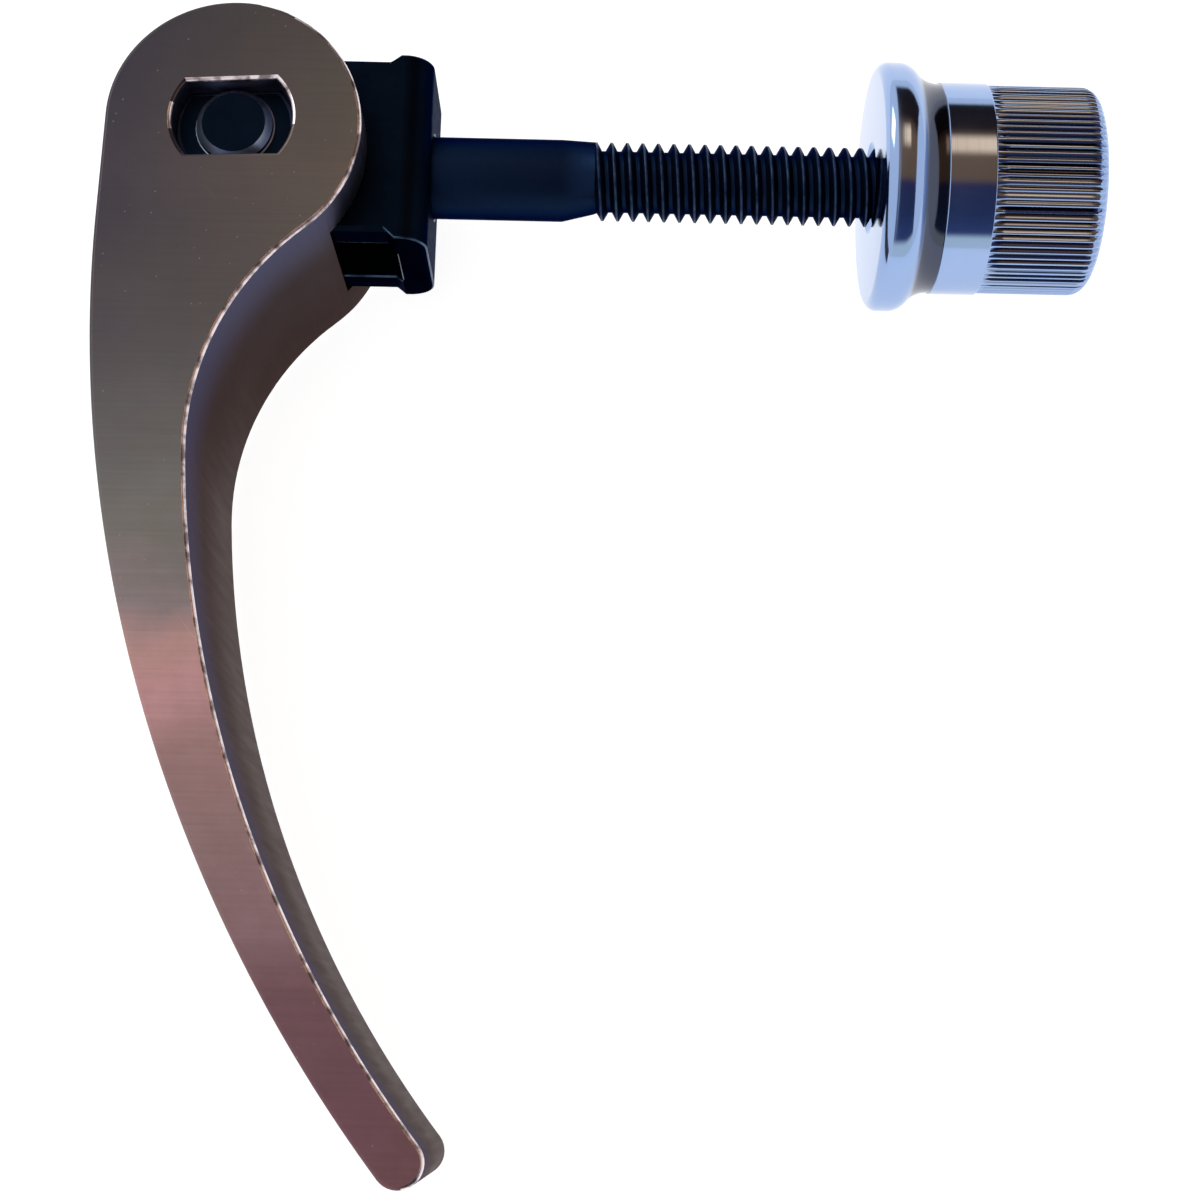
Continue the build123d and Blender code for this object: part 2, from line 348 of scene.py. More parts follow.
top_band_reflection = add(tree, "ShaderNodeMix", {"Factor": near_top.outputs[0], 6: dark.outputs[2],
                                      7: srgb("565c7c")}, data_type="RGBA")
tree.links.new(top_band_reflection.outputs[2], shader.inputs["Base Color"])
shader.inputs["Metallic"].default_value = 1
shader.inputs["Specular Tint"].default_value = (0.42, 0.36, 0.34, 1)
rough = add(tree, "ShaderNodeMapRange", {"Value": belt_lines.outputs["Fac"], 3: 0.32,
                                         4: 0.5})
tree.links.new(rough.outputs[0], shader.inputs["Roughness"])
bump = add(tree, "ShaderNodeBump", {"Height": belt_lines.outputs["Fac"], "Strength": 0.15,
                                    "Distance": 0.00005})
tree.links.new(bump.outputs[0], shader.inputs["Normal"])

# Along the inner edge and the hole's rim a pale, pinkish line is painted highlight, in
# brighter and duller patches.
edge_highlight, tree, shader = new_material("nickel_edge_painted_highlight")
place = add(tree, "ShaderNodeTexCoord").outputs["Object"]
patch = add(tree, "ShaderNodeTexNoise", {"Vector": place, "Scale": 900, "Detail": 4})
edge_highlight_share = add(tree, "ShaderNodeMapRange", {"Value": patch.outputs["Fac"], 1: 0.38, 2: 0.55})
edge_highlight_tone = add(tree, "ShaderNodeMix", {"Factor": edge_highlight_share.outputs[0], 6: srgb("7d7276"),
                                     7: srgb("e6dade")}, data_type="RGBA")
tree.links.new(edge_highlight_tone.outputs[2], shader.inputs["Base Color"])
shader.inputs["Metallic"].default_value = 1
shader.inputs["Roughness"].default_value = 0.3

for number, material in ((FACE, nickel), (FLANK, flank), (EDGE, edge_highlight)):
    lever.data.materials[number] = material
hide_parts("lever")
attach(lever, "lever_body")


# ---- Bracket and cam pin -----------------------------------------------------------------
# The bracket is strip steel folded to a U, the pin a steel bar with two flats and a turned
# neck. Both are blackened and oiled, and the tumbling barrel has rounded their edges.

# Black oxide on steel, sealed with oil: almost black, with a navy sheen where it catches
# the light. The steel-blue along the corners is painted highlight.
oxide, tree, shader = new_material("black_oxide_steel_oiled")
place = add(tree, "ShaderNodeTexCoord").outputs["Object"]
cloud = add(tree, "ShaderNodeTexNoise", {"Vector": place, "Scale": 260, "Detail": 5})
sheen = add(tree, "ShaderNodeMix", {"Factor": cloud.outputs["Fac"], 6: srgb("04080d"),
                                    7: srgb("0c1625")}, data_type="RGBA")
# The bolt was blackened in another bath than the bracket, and came out more navy.
split = add(tree, "ShaderNodeSeparateXYZ", {0: place})
on_bolt = add(tree, "ShaderNodeMapRange", {"Value": split.outputs["X"], 1: -0.0005,
                                           2: 0.0003})
navy = add(tree, "ShaderNodeMix", {"Factor": on_bolt.outputs[0], 6: sheen.outputs[2],
                                   7: srgb("122039")}, data_type="RGBA")
tree.links.new(navy.outputs[2], shader.inputs["Base Color"])
shader.inputs["Metallic"].default_value = 1
shader.inputs["Specular Tint"].default_value = (0.24, 0.3, 0.4, 1)
fine = add(tree, "ShaderNodeTexNoise", {"Vector": place, "Scale": 1500, "Detail": 4})
rough = add(tree, "ShaderNodeMapRange", {"Value": fine.outputs["Fac"], 3: 0.36, 4: 0.56})
tree.links.new(rough.outputs[0], shader.inputs["Roughness"])
bump = add(tree, "ShaderNodeBump", {"Height": fine.outputs["Fac"], "Strength": 0.25,
                                    "Distance": 0.00005})
tree.links.new(bump.outputs[0], shader.inputs["Normal"])

# The same oxide, paler and steel-blue along the bracket's rounded corners: painted highlight.
edge_highlight_oxide, tree, shader = new_material("black_oxide_edge_painted_highlight")
place = add(tree, "ShaderNodeTexCoord").outputs["Object"]
highlight_noise = add(tree, "ShaderNodeTexNoise", {"Vector": place, "Scale": 500, "Detail": 3})
patchy = add(tree, "ShaderNodeMapRange", {"Value": highlight_noise.outputs["Fac"], 1: 0.35, 2: 0.6})
highlight_tone = add(tree, "ShaderNodeMix", {"Factor": patchy.outputs[0], 6: srgb("1e2b3e"),
                                    7: srgb("48607e")}, data_type="RGBA")
tree.links.new(highlight_tone.outputs[2], shader.inputs["Base Color"])
shader.inputs["Metallic"].default_value = 1
shader.inputs["Roughness"].default_value = 0.34


SHARP_FROM = 50
EDGE_HIGHLIGHT_SLOT = 1


def finished_copy(node, name, edge):
    """The node's solid as a clean mesh of whole faces, with its sharp edges rounded."""
    made = bpy.data.objects.new(name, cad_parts[node].data.copy())
    bpy.context.scene.collection.objects.link(made)
    work = bmesh.new()
    work.from_mesh(made.data)
    bmesh.ops.remove_doubles(work, verts=work.verts, dist=0.002 * MM)
    bmesh.ops.dissolve_limit(work, angle_limit=math.radians(0.5), verts=work.verts,
                             edges=work.edges)
    work.to_mesh(made.data)
    work.free()
    attribute = made.data.attributes.get("custom_normal")
    if attribute:
        made.data.attributes.remove(attribute)
    step = made.modifiers.new("tumbled edges", "BEVEL")
    step.limit_method, step.angle_limit = "ANGLE", math.radians(SHARP_FROM)
    step.width, step.segments, step.use_clamp_overlap = edge * MM, 3, False
    # The rounded edges take the second slot: a painted highlight.
    step.material = EDGE_HIGHLIGHT_SLOT
    made.data.materials.clear()
    for material in (oxide, edge_highlight_oxide):
        made.data.materials.append(material)
    applied(made)
    smooth_round(made)
    return made


bracket = finished_copy("bracket", "folded_bracket", 0.12)
pin = finished_copy("cam_pin", "pin_bar", 0.12)

# Pale turned steel on the slanted rim of the pin's boss and on the pin's edges: painted
# highlight. It gives two pale crescents round the boss.
rim_highlight, tree, shader = new_material("steel_rim_painted_highlight")
place = add(tree, "ShaderNodeTexCoord").outputs["Object"]
oiled = add(tree, "ShaderNodeTexNoise", {"Vector": place, "Scale": 700, "Detail": 3})
steel = add(tree, "ShaderNodeMix", {"Factor": oiled.outputs["Fac"], 6: srgb("7e90a8"),
                                    7: srgb("c4d0dc")}, data_type="RGBA")
tree.links.new(steel.outputs[2], shader.inputs["Base Color"])
shader.inputs["Metallic"].default_value = 1
shader.inputs["Roughness"].default_value = 0.3
pin.data.materials[EDGE_HIGHLIGHT_SLOT] = rim_highlight
for face in pin.data.polygons:
    if 0.2 < abs(face.normal.z) < 0.95 and abs(face.center.z) > 8 * MM:
        face.material_index = EDGE_HIGHLIGHT_SLOT
for piece, node, body in ((bracket, "bracket", "bracket_body"),
                          (pin, "cam_pin", "lever_body")):
    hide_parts(node)
    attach(piece, body)


# ---- Eye bolt ----------------------------------------------------------------------------
# A blackened steel bolt: a forged eye on the pin's neck, a plain shank, and a rolled
# 1/4-20 thread of 60 degrees, whose first turn runs out into the shank's cone.

PITCH = 25.4 / 20
THREAD_DEPTH, RUN_OUT, POINT = 0.55 * PITCH, 1.5 * PITCH, 0.8
ROWS_A_TURN, COLUMNS = 16, 36
SHANK_RADIUS, MAJOR_RADIUS = 3.3, 3.175
CONE_START, CONE_END = 10.5, 13.1
SEAM_X, SEAM_GAP = -4.0, 0.1
bolt_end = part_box("eye_bolt")[1].x / MM

thread = bpy.data.node_groups.new("rolled_thread", "GeometryNodeTree")
for name, kind in (("Geometry", "NodeSocketGeometry"), ("Start", "NodeSocketFloat"),
                   ("End", "NodeSocketFloat"), ("Pitch", "NodeSocketFloat"),
                   ("Major radius", "NodeSocketFloat"), ("Depth", "NodeSocketFloat"),
                   ("Run-out", "NodeSocketFloat"), ("Point", "NodeSocketFloat"),
                   ("Rows", "NodeSocketInt"), ("Columns", "NodeSocketInt"),
                   ("Material", "NodeSocketMaterial")):
    thread.interface.new_socket(name, in_out="INPUT", socket_type=kind)
thread.interface.new_socket("Geometry", in_out="OUTPUT", socket_type="NodeSocketGeometry")
given = add(thread, "NodeGroupInput").outputs

MATH, VECTOR_MATH = "ShaderNodeMath", "ShaderNodeVectorMath"
# A flat grid of rows along the bolt and columns round it is wound up, one pitch a turn.
length = add(thread, MATH, {0: given["End"], 1: given["Start"]}, operation="SUBTRACT")
grid = add(thread, "GeometryNodeMeshGrid", {"Size X": length, "Size Y": 1.0,
                                            "Vertices X": given["Rows"],
                                            "Vertices Y": given["Columns"]})
at = add(thread, "ShaderNodeSeparateXYZ", {0: add(thread, "GeometryNodeInputPosition")})
turn = add(thread, MATH, {0: at.outputs["Y"], 1: 0.5}, operation="ADD")
angle = add(thread, MATH, {0: turn, 1: math.tau}, operation="MULTIPLY")
row_x = add(thread, MATH, {0: length, 1: 0.5, 2: at.outputs["X"]}, operation="MULTIPLY_ADD")
wound_x = add(thread, MATH, {0: turn, 1: given["Pitch"], 2: row_x}, operation="MULTIPLY_ADD")
x = add(thread, MATH, {0: wound_x, 1: given["Start"]}, operation="ADD")
# Across a pitch the radius is a flat crest, two flanks and a narrow root.
pitches = add(thread, MATH, {0: row_x, 1: given["Pitch"]}, operation="DIVIDE")
phase = add(thread, MATH, {0: pitches}, operation="FRACT")
swing = add(thread, MATH, {0: phase, 1: 2.0, 2: -1.0}, operation="MULTIPLY_ADD")
peak = add(thread, MATH, {0: swing}, operation="ABSOLUTE")
groove = add(thread, "ShaderNodeMapRange", {"Value": peak, 1: 0.875, 2: 0.25, 3: 0.0, 4: 1.0})
run_end = add(thread, MATH, {0: given["Start"], 1: given["Run-out"]}, operation="ADD")
fade = add(thread, "ShaderNodeMapRange", {"Value": x, 1: given["Start"], 2: run_end},
           interpolation_type="SMOOTHSTEP")
full = add(thread, MATH, {0: groove, 1: given["Depth"]}, operation="MULTIPLY")
sink = add(thread, MATH, {0: full, 1: fade}, operation="MULTIPLY")
threaded = add(thread, MATH, {0: given["Major radius"], 1: sink}, operation="SUBTRACT")
# The bolt's end is pointed.
bolt_tip = add(thread, MATH, {0: given["End"], 1: given["Pitch"]}, operation="SUBTRACT")
point_start = add(thread, MATH, {0: bolt_tip, 1: given["Point"]}, operation="SUBTRACT")
past_start = add(thread, MATH, {0: x, 1: point_start}, operation="SUBTRACT")
beyond = add(thread, MATH, {0: past_start, 1: 0.0}, operation="MAXIMUM")
pointed = add(thread, MATH, {0: given["Major radius"], 1: beyond}, operation="SUBTRACT")
radius = add(thread, MATH, {0: threaded, 1: pointed}, operation="MINIMUM")
y = add(thread, MATH, {0: radius, 1: add(thread, MATH, {0: angle}, operation="COSINE")},
        operation="MULTIPLY")
z = add(thread, MATH, {0: radius, 1: add(thread, MATH, {0: angle}, operation="SINE")},
        operation="MULTIPLY")
wound = add(thread, "GeometryNodeSetPosition",
            {"Geometry": grid, "Position": add(thread, "ShaderNodeCombineXYZ",
                                               {0: x, 1: y, 2: z})})
closed = add(thread, "GeometryNodeMergeByDistance", {"Geometry": wound,
                                                     "Distance": 0.002 * MM})
real = add(thread, "GeometryNodeRealizeInstances", {0: closed})
coloured = add(thread, "GeometryNodeSetMaterial", {"Geometry": real,
                                                   "Material": given["Material"]})
add(thread, "NodeGroupOutput", {0: coloured})


def grown(name, group, values, mesh=None):
    """A plain mesh object from a node group, whose inputs are set before it is first run."""
    made = bpy.data.objects.new(name, mesh or bpy.data.meshes.new(name))
    bpy.context.scene.collection.objects.link(made)
    step = made.modifiers.new(name, "NODES")
    step.node_group = group
    for item in group.interface.items_tree:
        if item.in_out == "INPUT" and item.name in values:
            step[item.identifier] = values[item.name]
    return applied(made)


thread_start = CONE_END - PITCH
rows = round((bolt_end + PITCH - thread_start) / PITCH * ROWS_A_TURN) + 1
thread_end = thread_start + (rows - 1) / ROWS_A_TURN * PITCH
rod = grown("threaded_rod", thread,
            {"Start": thread_start * MM, "End": thread_end * MM, "Pitch": PITCH * MM,
             "Major radius": MAJOR_RADIUS * MM, "Depth": THREAD_DEPTH * MM,
             "Run-out": RUN_OUT * MM, "Point": POINT * MM, "Rows": rows,
             "Columns": COLUMNS + 1, "Material": oxide})

# The rod is cut square at both ends, drawn out to the shank, and joined to the solid's eye.
work = bmesh.new()
work.from_mesh(rod.data)
for at_x, side in ((CONE_END, -1), (bolt_end, 1)):
    everything = list(work.verts) + list(work.edges) + list(work.faces)
    bmesh.ops.bisect_plane(work, geom=everything, plane_co=(at_x * MM, 0, 0),
                           plane_no=(side, 0, 0), clear_outer=True, dist=0.0005 * MM)


def open_ring(work, at_x):
    """The open boundary's edges in the plane at this x."""
    return [e for e in work.edges if e.is_boundary
            and all(abs(v.co.x - at_x * MM) < 0.005 * MM for v in e.verts)]


bmesh.ops.edgeloop_fill(work, edges=open_ring(work, bolt_end))
for from_x, to_x in ((CONE_END, CONE_START), (CONE_START, SEAM_X + SEAM_GAP)):
    new = bmesh.ops.extrude_edge_only(work, edges=open_ring(work, from_x))["geom"]
    for vert in (v for v in new if isinstance(v, bmesh.types.BMVert)):
        out = vert.co.yz.normalized() * SHANK_RADIUS * MM
        vert.co = (to_x * MM, out.x, out.y)
eye = bmesh.new()
eye.from_mesh(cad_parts["eye_bolt"].data)
bmesh.ops.remove_doubles(eye, verts=eye.verts, dist=0.002 * MM)
bmesh.ops.bisect_plane(eye, geom=list(eye.verts) + list(eye.edges) + list(eye.faces),
                       plane_co=(SEAM_X * MM, 0, 0), plane_no=(1, 0, 0), clear_outer=True)
eye_mesh = bpy.data.meshes.new("eye")
eye.to_mesh(eye_mesh)
eye.free()
work.from_mesh(eye_mesh)
bmesh.ops.bridge_loops(work, edges=open_ring(work, SEAM_X)
                       + open_ring(work, SEAM_X + SEAM_GAP))
bmesh.ops.recalc_face_normals(work, faces=work.faces)
put_in_order(work)
bolt_mesh = bpy.data.meshes.new("eye_bolt_threaded")
work.to_mesh(bolt_mesh)
work.free()
bpy.data.objects.remove(rod)
bolt = bpy.data.objects.new("eye_bolt_threaded", bolt_mesh)
bpy.context.scene.collection.objects.link(bolt)

# The thread's crests in a paler navy: painted highlight.
crest_oxide, tree, shader = new_material("black_oxide_thread_crests_painted_highlight")
place = add(tree, "ShaderNodeTexCoord").outputs["Object"]
highlight_noise = add(tree, "ShaderNodeTexNoise", {"Vector": place, "Scale": 900, "Detail": 3})
patchy = add(tree, "ShaderNodeMapRange", {"Value": highlight_noise.outputs["Fac"], 1: 0.35, 2: 0.7})
highlight_tone = add(tree, "ShaderNodeMix", {"Factor": patchy.outputs[0], 6: srgb("16233a"),
                                    7: srgb("3a4c66")}, data_type="RGBA")
tree.links.new(highlight_tone.outputs[2], shader.inputs["Base Color"])
shader.inputs["Metallic"].default_value = 1
shader.inputs["Roughness"].default_value = 0.45
for material in (oxide, crest_oxide):
    bolt.data.materials.append(material)
# The faces on the crests take the paler navy, a painted highlight.
for face in bolt.data.polygons:
    crest = face.center.yz.length > (MAJOR_RADIUS - 0.02) * MM
    face.material_index = 1 if crest and face.center.x > CONE_END * MM else 0
smooth_round(bolt, 40)
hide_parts("eye_bolt")
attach(bolt, "bolt_body")


# ---- Nut ---------------------------------------------------------------------------------
# Turned steel in bright chrome: a flange with a round rim, a hollow throat, a smooth
# collar, and a grip rolled with fine straight ridges that were never quite even.

nut_low, nut_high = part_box("nut")
face_x, end_x = nut_low.x / MM, nut_high.x / MM
flange = nut_high.y / MM
BORE, WAIST, COLLAR, GRIP = 3.225, 8.4, 8.5, 8.35
FACE_ROUND, BACK_ROUND, BACK_TURN, END_ROUND = 0.9, 1.8, 52, 1.2
LAND, WAIST_LAND, COLLAR_LENGTH, MOUTH = 0.8, 0.1, 3.8, 0.5
POCKET, LIP, POCKET_START = 5.175, 0.5, 49.9
GRIP_ROWS = 16

profile = [(face_x + MOUTH, BORE), (face_x, BORE + MOUTH), (face_x, flange - FACE_ROUND)]
heading = bend(profile, 90, FACE_ROUND, -90, step=9)
profile.append((profile[-1][0] + LAND, flange))
heading = bend(profile, heading, BACK_ROUND, -BACK_TURN, step=7)
throat_x = profile[-1][0]
throat_radius = (profile[-1][1] - WAIST) / (1 - math.cos(math.radians(BACK_TURN)))
bend(profile, heading, throat_radius, BACK_TURN, step=4)
collar_x = profile[-1][0] + WAIST_LAND
grip_x = collar_x + COLLAR_LENGTH
grip_end = end_x - END_ROUND
# Close rings at its two ends keep the collar's small steps crisp and its side flat.
profile += [(collar_x, WAIST), (collar_x + 0.02, WAIST + 0.04),
            (collar_x + 0.06, COLLAR - 0.01), (collar_x + 0.1, COLLAR),
            (collar_x + 0.14, COLLAR), (collar_x + 0.3, COLLAR), (grip_x - 0.3, COLLAR),
            (grip_x - 0.14, COLLAR), (grip_x - 0.1, COLLAR), (grip_x - 0.04, COLLAR - 0.03)]
for row in range(GRIP_ROWS + 1):
    profile.append((grip_x + (grip_end - grip_x) * row / GRIP_ROWS, GRIP))
bend(profile, 0, END_ROUND, -90, step=11)
profile += [(end_x, POCKET - LIP), (end_x - LIP, POCKET - LIP), (end_x - LIP, POCKET),
            (POCKET_START, POCKET), (POCKET_START, BORE)]

RIDGES = 90
SECTORS = 8 * RIDGES
blank = bpy.data.meshes.new("nut_blank")
work = bmesh.new()
rings = []
for x, r in profile:
    rings.append([work.verts.new((x * MM, r * MM * math.cos(math.tau * k / SECTORS),
                                  r * MM * math.sin(math.tau * k / SECTORS)))
                  for k in range(SECTORS)])
for here, there in zip(rings, rings[1:] + rings[:1]):
    for k in range(SECTORS):
        n = (k + 1) % SECTORS
        work.faces.new((here[k], there[k], there[n], here[n]))
bmesh.ops.recalc_face_normals(work, faces=work.faces)
work.to_mesh(blank)
work.free()

knurl = bpy.data.node_groups.new("straight_knurl", "GeometryNodeTree")
for name, kind in (("Geometry", "NodeSocketGeometry"), ("Start", "NodeSocketFloat"),
                   ("End", "NodeSocketFloat"), ("Run-out", "NodeSocketFloat"),
                   ("Least radius", "NodeSocketFloat"), ("Depth", "NodeSocketFloat"),
                   ("Ridges", "NodeSocketInt"), ("Unevenness", "NodeSocketFloat"),
                   ("Seed", "NodeSocketInt"), ("Material", "NodeSocketMaterial")):
    knurl.interface.new_socket(name, in_out="INPUT", socket_type=kind)
knurl.interface.new_socket("Geometry", in_out="OUTPUT", socket_type="NodeSocketGeometry")
given = add(knurl, "NodeGroupInput").outputs
position = add(knurl, "GeometryNodeInputPosition")
at = add(knurl, "ShaderNodeSeparateXYZ", {0: position})
# The angle round the axis counts the ridges. Each groove has a chance depth of its own.
round_angle = add(knurl, MATH, {0: at.outputs["Z"], 1: at.outputs["Y"]}, operation="ARCTAN2")
times = add(knurl, MATH, {0: round_angle, 1: given["Ridges"]}, operation="MULTIPLY")
around = add(knurl, MATH, {0: times, 1: math.tau}, operation="DIVIDE")
count = add(knurl, MATH, {0: around, 1: 0.001}, operation="ADD")
number = add(knurl, MATH, {0: count}, operation="FLOOR")
phase = add(knurl, MATH, {0: count}, operation="FRACT")
swing = add(knurl, MATH, {0: phase, 1: 2.0, 2: -1.0}, operation="MULTIPLY_ADD")
valley = add(knurl, MATH, {0: swing}, operation="ABSOLUTE")
groove = add(knurl, "ShaderNodeMapRange", {"Value": valley, 1: 0.1, 2: 1.0, 3: 0.0, 4: 1.0},
             interpolation_type="SMOOTHSTEP")
chance = add(knurl, "FunctionNodeRandomValue", {"ID": number, "Seed": given["Seed"]})
missing = add(knurl, MATH, {0: chance.outputs[1], 1: given["Unevenness"]},
              operation="MULTIPLY")
uneven = add(knurl, MATH, {0: 1.0, 1: missing}, operation="SUBTRACT")
cut_share = add(knurl, MATH, {0: groove, 1: uneven}, operation="MULTIPLY")
# Only the grip's outside is rolled, and the grooves run out at both of its ends.
out = add(knurl, VECTOR_MATH, {0: position, 1: (0, 1, 1)}, operation="MULTIPLY")
outward = add(knurl, VECTOR_MATH, {0: out}, operation="NORMALIZE")
reach = add(knurl, VECTOR_MATH, {0: out}, operation="LENGTH").outputs["Value"]
start_full = add(knurl, MATH, {0: given["Start"], 1: given["Run-out"]}, operation="ADD")
rise = add(knurl, "ShaderNodeMapRange", {"Value": at.outputs["X"], 1: given["Start"],
                                         2: start_full})
end_full = add(knurl, MATH, {0: given["End"], 1: given["Run-out"]}, operation="SUBTRACT")
fall = add(knurl, "ShaderNodeMapRange", {"Value": at.outputs["X"], 1: given["End"],
                                         2: end_full})
on_grip = add(knurl, MATH, {0: reach, 1: given["Least radius"]}, operation="GREATER_THAN")
deepest = add(knurl, MATH, {0: given["Depth"], 1: on_grip}, operation="MULTIPLY")
ends = add(knurl, MATH, {0: rise, 1: fall}, operation="MULTIPLY")
cut_depth = add(knurl, MATH, {0: cut_share, 1: deepest}, operation="MULTIPLY")
sink = add(knurl, MATH, {0: cut_depth, 1: ends}, operation="MULTIPLY")
inward = add(knurl, MATH, {0: sink, 1: -1.0}, operation="MULTIPLY")
shift = add(knurl, VECTOR_MATH, {0: outward, "Scale": inward}, operation="SCALE")
rolled = add(knurl, "GeometryNodeSetPosition", {"Geometry": given["Geometry"],
                                                "Offset": shift})
real = add(knurl, "GeometryNodeRealizeInstances", {0: rolled})
coloured = add(knurl, "GeometryNodeSetMaterial", {"Geometry": real,
                                                  "Material": given["Material"]})
add(knurl, "NodeGroupOutput", {0: coloured})

# Bright chrome over nickel with fine turning lines under it. Its strong blue is partly
# chrome's own cold tint and partly painted reflection.
chrome, tree, shader = new_material("bright_chrome_plate_turned")
place = add(tree, "ShaderNodeTexCoord").outputs["Object"]
smear = add(tree, "ShaderNodeTexNoise", {"Vector": place, "Scale": 200, "Detail": 3})
cold = add(tree, "ShaderNodeMix", {"Factor": smear.outputs["Fac"], 6: srgb("89a5d5"),
                                   7: srgb("9eb3d8")}, data_type="RGBA")
# Darker into the throat and between the ridges: painted shade.
spot_x = add(tree, "ShaderNodeSeparateXYZ", {0: place}).outputs["X"]
into = add(tree, "ShaderNodeMapRange", {"Value": spot_x, 1: (throat_x - 0.2) * MM,
                                        2: (throat_x + 0.3) * MM})
out_of = add(tree, "ShaderNodeMapRange", {"Value": spot_x, 1: (collar_x + 0.06) * MM,
                                          2: (collar_x - 0.02) * MM})
in_throat = add(tree, MATH, {0: into, 1: out_of}, operation="MULTIPLY")
out = add(tree, VECTOR_MATH, {0: place, 1: (0, 1, 1)}, operation="MULTIPLY")
reach = add(tree, VECTOR_MATH, {0: out}, operation="LENGTH").outputs["Value"]
deep = add(tree, "ShaderNodeMapRange", {"Value": reach, 1: (GRIP - 0.02) * MM,
                                        2: (GRIP - 0.16) * MM})
outside = add(tree, MATH, {0: reach, 1: (GRIP - 0.4) * MM}, operation="GREATER_THAN")
past_start = add(tree, "ShaderNodeMapRange", {"Value": spot_x, 1: grip_x * MM,
                                              2: (grip_x + 0.3) * MM})
before_end = add(tree, "ShaderNodeMapRange", {"Value": spot_x, 1: (grip_end + 0.2) * MM,
                                              2: (grip_end - 0.1) * MM})
low = add(tree, MATH, {0: deep, 1: outside}, operation="MULTIPLY")
on_grip = add(tree, MATH, {0: past_start, 1: before_end}, operation="MULTIPLY")
in_groove = add(tree, MATH, {0: low, 1: on_grip}, operation="MULTIPLY")
either = add(tree, MATH, {0: in_throat, 1: in_groove}, operation="MAXIMUM")
recess_shade_share = add(tree, MATH, {0: either, 1: 0.85}, operation="MULTIPLY")
recess_painted_shade = add(tree, "ShaderNodeMix", {"Factor": recess_shade_share, 6: cold.outputs[2],
                                   7: srgb("2e2624")}, data_type="RGBA")
tree.links.new(recess_painted_shade.outputs[2], shader.inputs["Base Color"])
shader.inputs["Metallic"].default_value = 1
rough = add(tree, "ShaderNodeMapRange", {"Value": smear.outputs["Fac"], 3: 0.06, 4: 0.16})
tree.links.new(rough.outputs[0], shader.inputs["Roughness"])
lathe = add(tree, "ShaderNodeMapping", {"Vector": place, "Scale": (5000, 60, 60)})
turned = add(tree, "ShaderNodeTexNoise", {"Vector": lathe.outputs[0], "Scale": 1,
                                          "Detail": 2})
bump = add(tree, "ShaderNodeBump", {"Height": turned.outputs["Fac"], "Strength": 0.1,
                                    "Distance": 0.00004})
tree.links.new(bump.outputs[0], shader.inputs["Normal"])

KNURL_DEPTH, KNURL_RUN_OUT, UNEVENNESS = 0.26, 0.35, 0.6
nut = grown("flanged_nut", knurl,
            {"Start": (grip_x - 0.02) * MM, "End": (end_x - 0.2) * MM,
             "Run-out": KNURL_RUN_OUT * MM, "Least radius": (GRIP - 0.9) * MM,
             "Depth": KNURL_DEPTH * MM, "Ridges": RIDGES, "Unevenness": UNEVENNESS,
             "Seed": 7, "Material": chrome}, blank)
smooth_round(nut, 35)
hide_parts("nut")
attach(nut, "nut_body")


# ---- Lock ring ---------------------------------------------------------------------------
# A nylon insert, moulded, pressed into the nut's outer end and held by its rolled lip.

nylon, tree, shader = new_material("nylon_moulded_natural")
place = add(tree, "ShaderNodeTexCoord").outputs["Object"]
haze = add(tree, "ShaderNodeTexNoise", {"Vector": place, "Scale": 400, "Detail": 3})
milky = add(tree, "ShaderNodeMix", {"Factor": haze.outputs["Fac"], 6: srgb("d8d4c6"),
                                    7: srgb("e9e6da")}, data_type="RGBA")
tree.links.new(milky.outputs[2], shader.inputs["Base Color"])
shader.inputs["Roughness"].default_value = 0.45
shader.inputs["IOR"].default_value = 1.53
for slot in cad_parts["lock_ring"].material_slots:
    slot.material = nylon


# ---- Studio ------------------------------------------------------------------------------
# A plain pale table in a white room, one large soft lamp above the bolt's side, and an arch
# of toned card far out over the nut's side, which gives the chrome something dark to mirror.

LEFT_END, RIGHT_END, HALF_WIDTH = -3.0, 0.3, 3.0
floor_z = lever_low.z
floor_mesh = bpy.data.meshes.new("table")
floor_mesh.from_pydata([(LEFT_END, -HALF_WIDTH, floor_z), (RIGHT_END, -HALF_WIDTH, floor_z),
                        (RIGHT_END, HALF_WIDTH, floor_z), (LEFT_END, HALF_WIDTH, floor_z)],
                       [], [(0, 1, 2, 3)])
table = bpy.data.objects.new("table", floor_mesh)
bpy.context.scene.collection.objects.link(table)

# White matt paper. The camera, metal and glass see it lit to white, with the object's
# shadow on it, and it throws a pale, faintly blue light back on what stands there.
paper, tree, shader = new_material("white_matt_paper")
shader.inputs["Roughness"].default_value = 0.9
shader.inputs["Base Color"].default_value = srgb("d2e1fb")
shader.inputs["Specular IOR Level"].default_value = 0.0
rays = add(tree, "ShaderNodeLightPath").outputs
through = add(tree, MATH, {0: rays["Is Glossy Ray"], 1: rays["Is Transmission Ray"]},
              operation="MAXIMUM")
watched = add(tree, MATH, {0: rays["Is Camera Ray"], 1: through}, operation="MAXIMUM")
shadowed = add(tree, "ShaderNodeBsdfDiffuse", {"Color": (0.4, 0.4, 0.4, 1)})
glow = add(tree, "ShaderNodeEmission", {"Color": (1, 1, 1, 1), "Strength": 0.9})
lit = add(tree, "ShaderNodeAddShader", {0: shadowed, 1: glow})
seen = add(tree, "ShaderNodeMixShader", {0: watched, 1: shader, 2: lit})
tree.links.new(seen.outputs[0], tree.nodes["Material Output"].inputs["Surface"])
table.data.materials.append(paper)

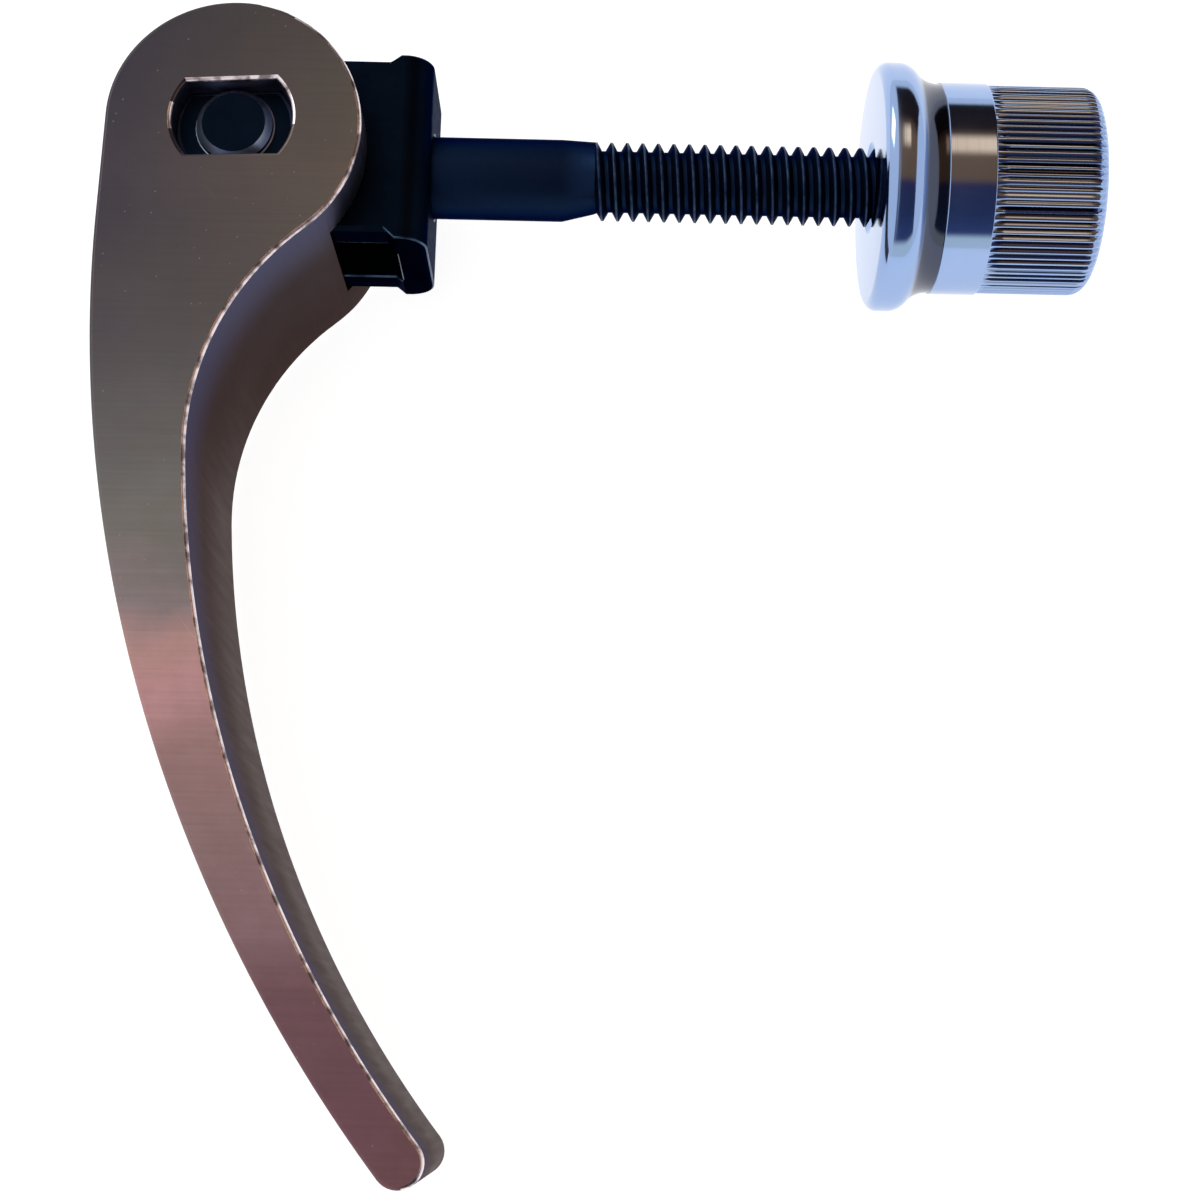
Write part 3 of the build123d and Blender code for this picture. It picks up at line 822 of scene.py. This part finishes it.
LAMP_PLACE, LAMP_SIDE, LAMP_RADIANCE = Vector((-0.6, 0.55, 0.6)), 0.5, 3.0
lamp = bpy.data.lights.new("back_softbox", "AREA")
lamp.shape, lamp.size, lamp.size_y = "RECTANGLE", LAMP_SIDE, LAMP_SIDE
lamp.energy = LAMP_RADIANCE * math.pi * LAMP_SIDE ** 2
lamp.color = srgb("fffaf4")[:3]
softbox = bpy.data.objects.new("back_softbox", lamp)
softbox.location = LAMP_PLACE
lamp_aim = Vector((0.015, -0.03, 0.0)) - LAMP_PLACE
softbox.rotation_euler = lamp_aim.to_track_quat("-Z", "Y").to_euler()
bpy.context.scene.collection.objects.link(softbox)

world = bpy.data.worlds.new("white_room")
bpy.context.scene.world = world
world.use_nodes = True
world.node_tree.nodes.clear()
white = add(world.node_tree, "ShaderNodeBackground", {"Color": (1, 1, 1, 1), "Strength": 1.0})
add(world.node_tree, "ShaderNodeOutputWorld", {"Surface": white})

ARCH_RADIUS, ARCH_END, ARCH_STEPS = 2.5, 2.6, 48
arch_mesh = bpy.data.meshes.new("card_arch")
ribs = [math.pi * (k / ARCH_STEPS - 0.5) for k in range(ARCH_STEPS + 1)]
arch_mesh.from_pydata([(x, ARCH_RADIUS * math.sin(rib), ARCH_RADIUS * math.cos(rib))
                       for x in (0.0, ARCH_END) for rib in ribs], [],
                      [(k, k + 1, ARCH_STEPS + 2 + k, ARCH_STEPS + 1 + k)
                       for k in range(ARCH_STEPS)])
arch = bpy.data.objects.new("card_arch", arch_mesh)
bpy.context.scene.collection.objects.link(arch)
arch.visible_camera = False

# Toned card, from its foot in front over the top to its foot behind: white, navy, brown,
# black and white, with a warm gap in the brown. It fades to white towards the lever. Metal
# mirrors it, and the camera doesn't see it.
card, tree, shader = new_material("toned_matt_card")
tree.nodes.remove(shader)
place = add(tree, "ShaderNodeTexCoord").outputs["Object"]
way = add(tree, VECTOR_MATH, {0: place}, operation="NORMALIZE")
part = add(tree, "ShaderNodeSeparateXYZ", {0: way}).outputs
tilt = add(tree, MATH, {0: part["Y"], 1: part["Z"]}, operation="ARCTAN2")
share = add(tree, "ShaderNodeMapRange", {"Value": tilt, 1: -math.pi / 2, 2: math.pi / 2})
tones = add(tree, "ShaderNodeValToRGB", {"Fac": share})
set_stops(tones, [(0.0, "fbfdf0"), (0.065, "fbfdf0"), (0.10, "475376"), (0.24, "39425e"),
                  (0.39, "403d58"), (0.43, "936b4c"), (0.66, "9a7250"), (0.75, "352522"),
                  (0.93, "2a2324"), (0.955, "ffffff"), (1.0, "ffffff")])
across = add(tree, "ShaderNodeMapRange", {"Value": part["X"], 1: 0.0, 2: 0.11},
             interpolation_type="SMOOTHSTEP")
toned = add(tree, "ShaderNodeMix", {"Factor": across, 6: (1, 1, 1, 1), 7: tones.outputs[0]},
            data_type="RGBA")
gap_start = add(tree, "ShaderNodeMapRange", {"Value": tilt, 1: math.radians(12),
                                             2: math.radians(20)})
gap_end = add(tree, "ShaderNodeMapRange", {"Value": tilt, 1: math.radians(38),
                                           2: math.radians(30)})
gap_near = add(tree, "ShaderNodeMapRange", {"Value": part["X"], 1: 0.14, 2: 0.17})
gap_far = add(tree, "ShaderNodeMapRange", {"Value": part["X"], 1: 0.32, 2: 0.26})
gap_length = add(tree, MATH, {0: gap_near, 1: gap_far}, operation="MULTIPLY")
gap_width = add(tree, MATH, {0: gap_start, 1: gap_end}, operation="MULTIPLY")
gap = add(tree, MATH, {0: gap_length, 1: gap_width}, operation="MULTIPLY")
with_gap = add(tree, "ShaderNodeMix", {"Factor": gap, 6: toned.outputs[2],
                                       7: (2.1, 1.27, 0.66, 1)}, data_type="RGBA")
shade = add(tree, "ShaderNodeEmission", {"Color": with_gap.outputs[2], "Strength": 1.0})
tree.links.new(shade.outputs[0], tree.nodes["Material Output"].inputs["Surface"])
arch.data.materials.append(card)

# The camera stands nearly over the lever, a little towards its tip, and leans 1.8 degrees.
camera_data = bpy.data.cameras.new("camera")
camera_data.lens, camera_data.sensor_width = 60, 36
camera_data.clip_start = 0.01
camera = bpy.data.objects.new("camera", camera_data)
camera.location = (0.01396, -0.07060, 0.15198)
aim = Vector((0.0143, -0.0352, 0.0)) - camera.location
upright = aim.to_track_quat("-Z", "Y").to_matrix().to_4x4()
camera.rotation_euler = (upright @ Matrix.Rotation(math.radians(1.79), 4, "Z")).to_euler()
bpy.context.scene.collection.objects.link(camera)
bpy.context.scene.camera = camera
bpy.context.scene.view_settings.view_transform = "Standard"
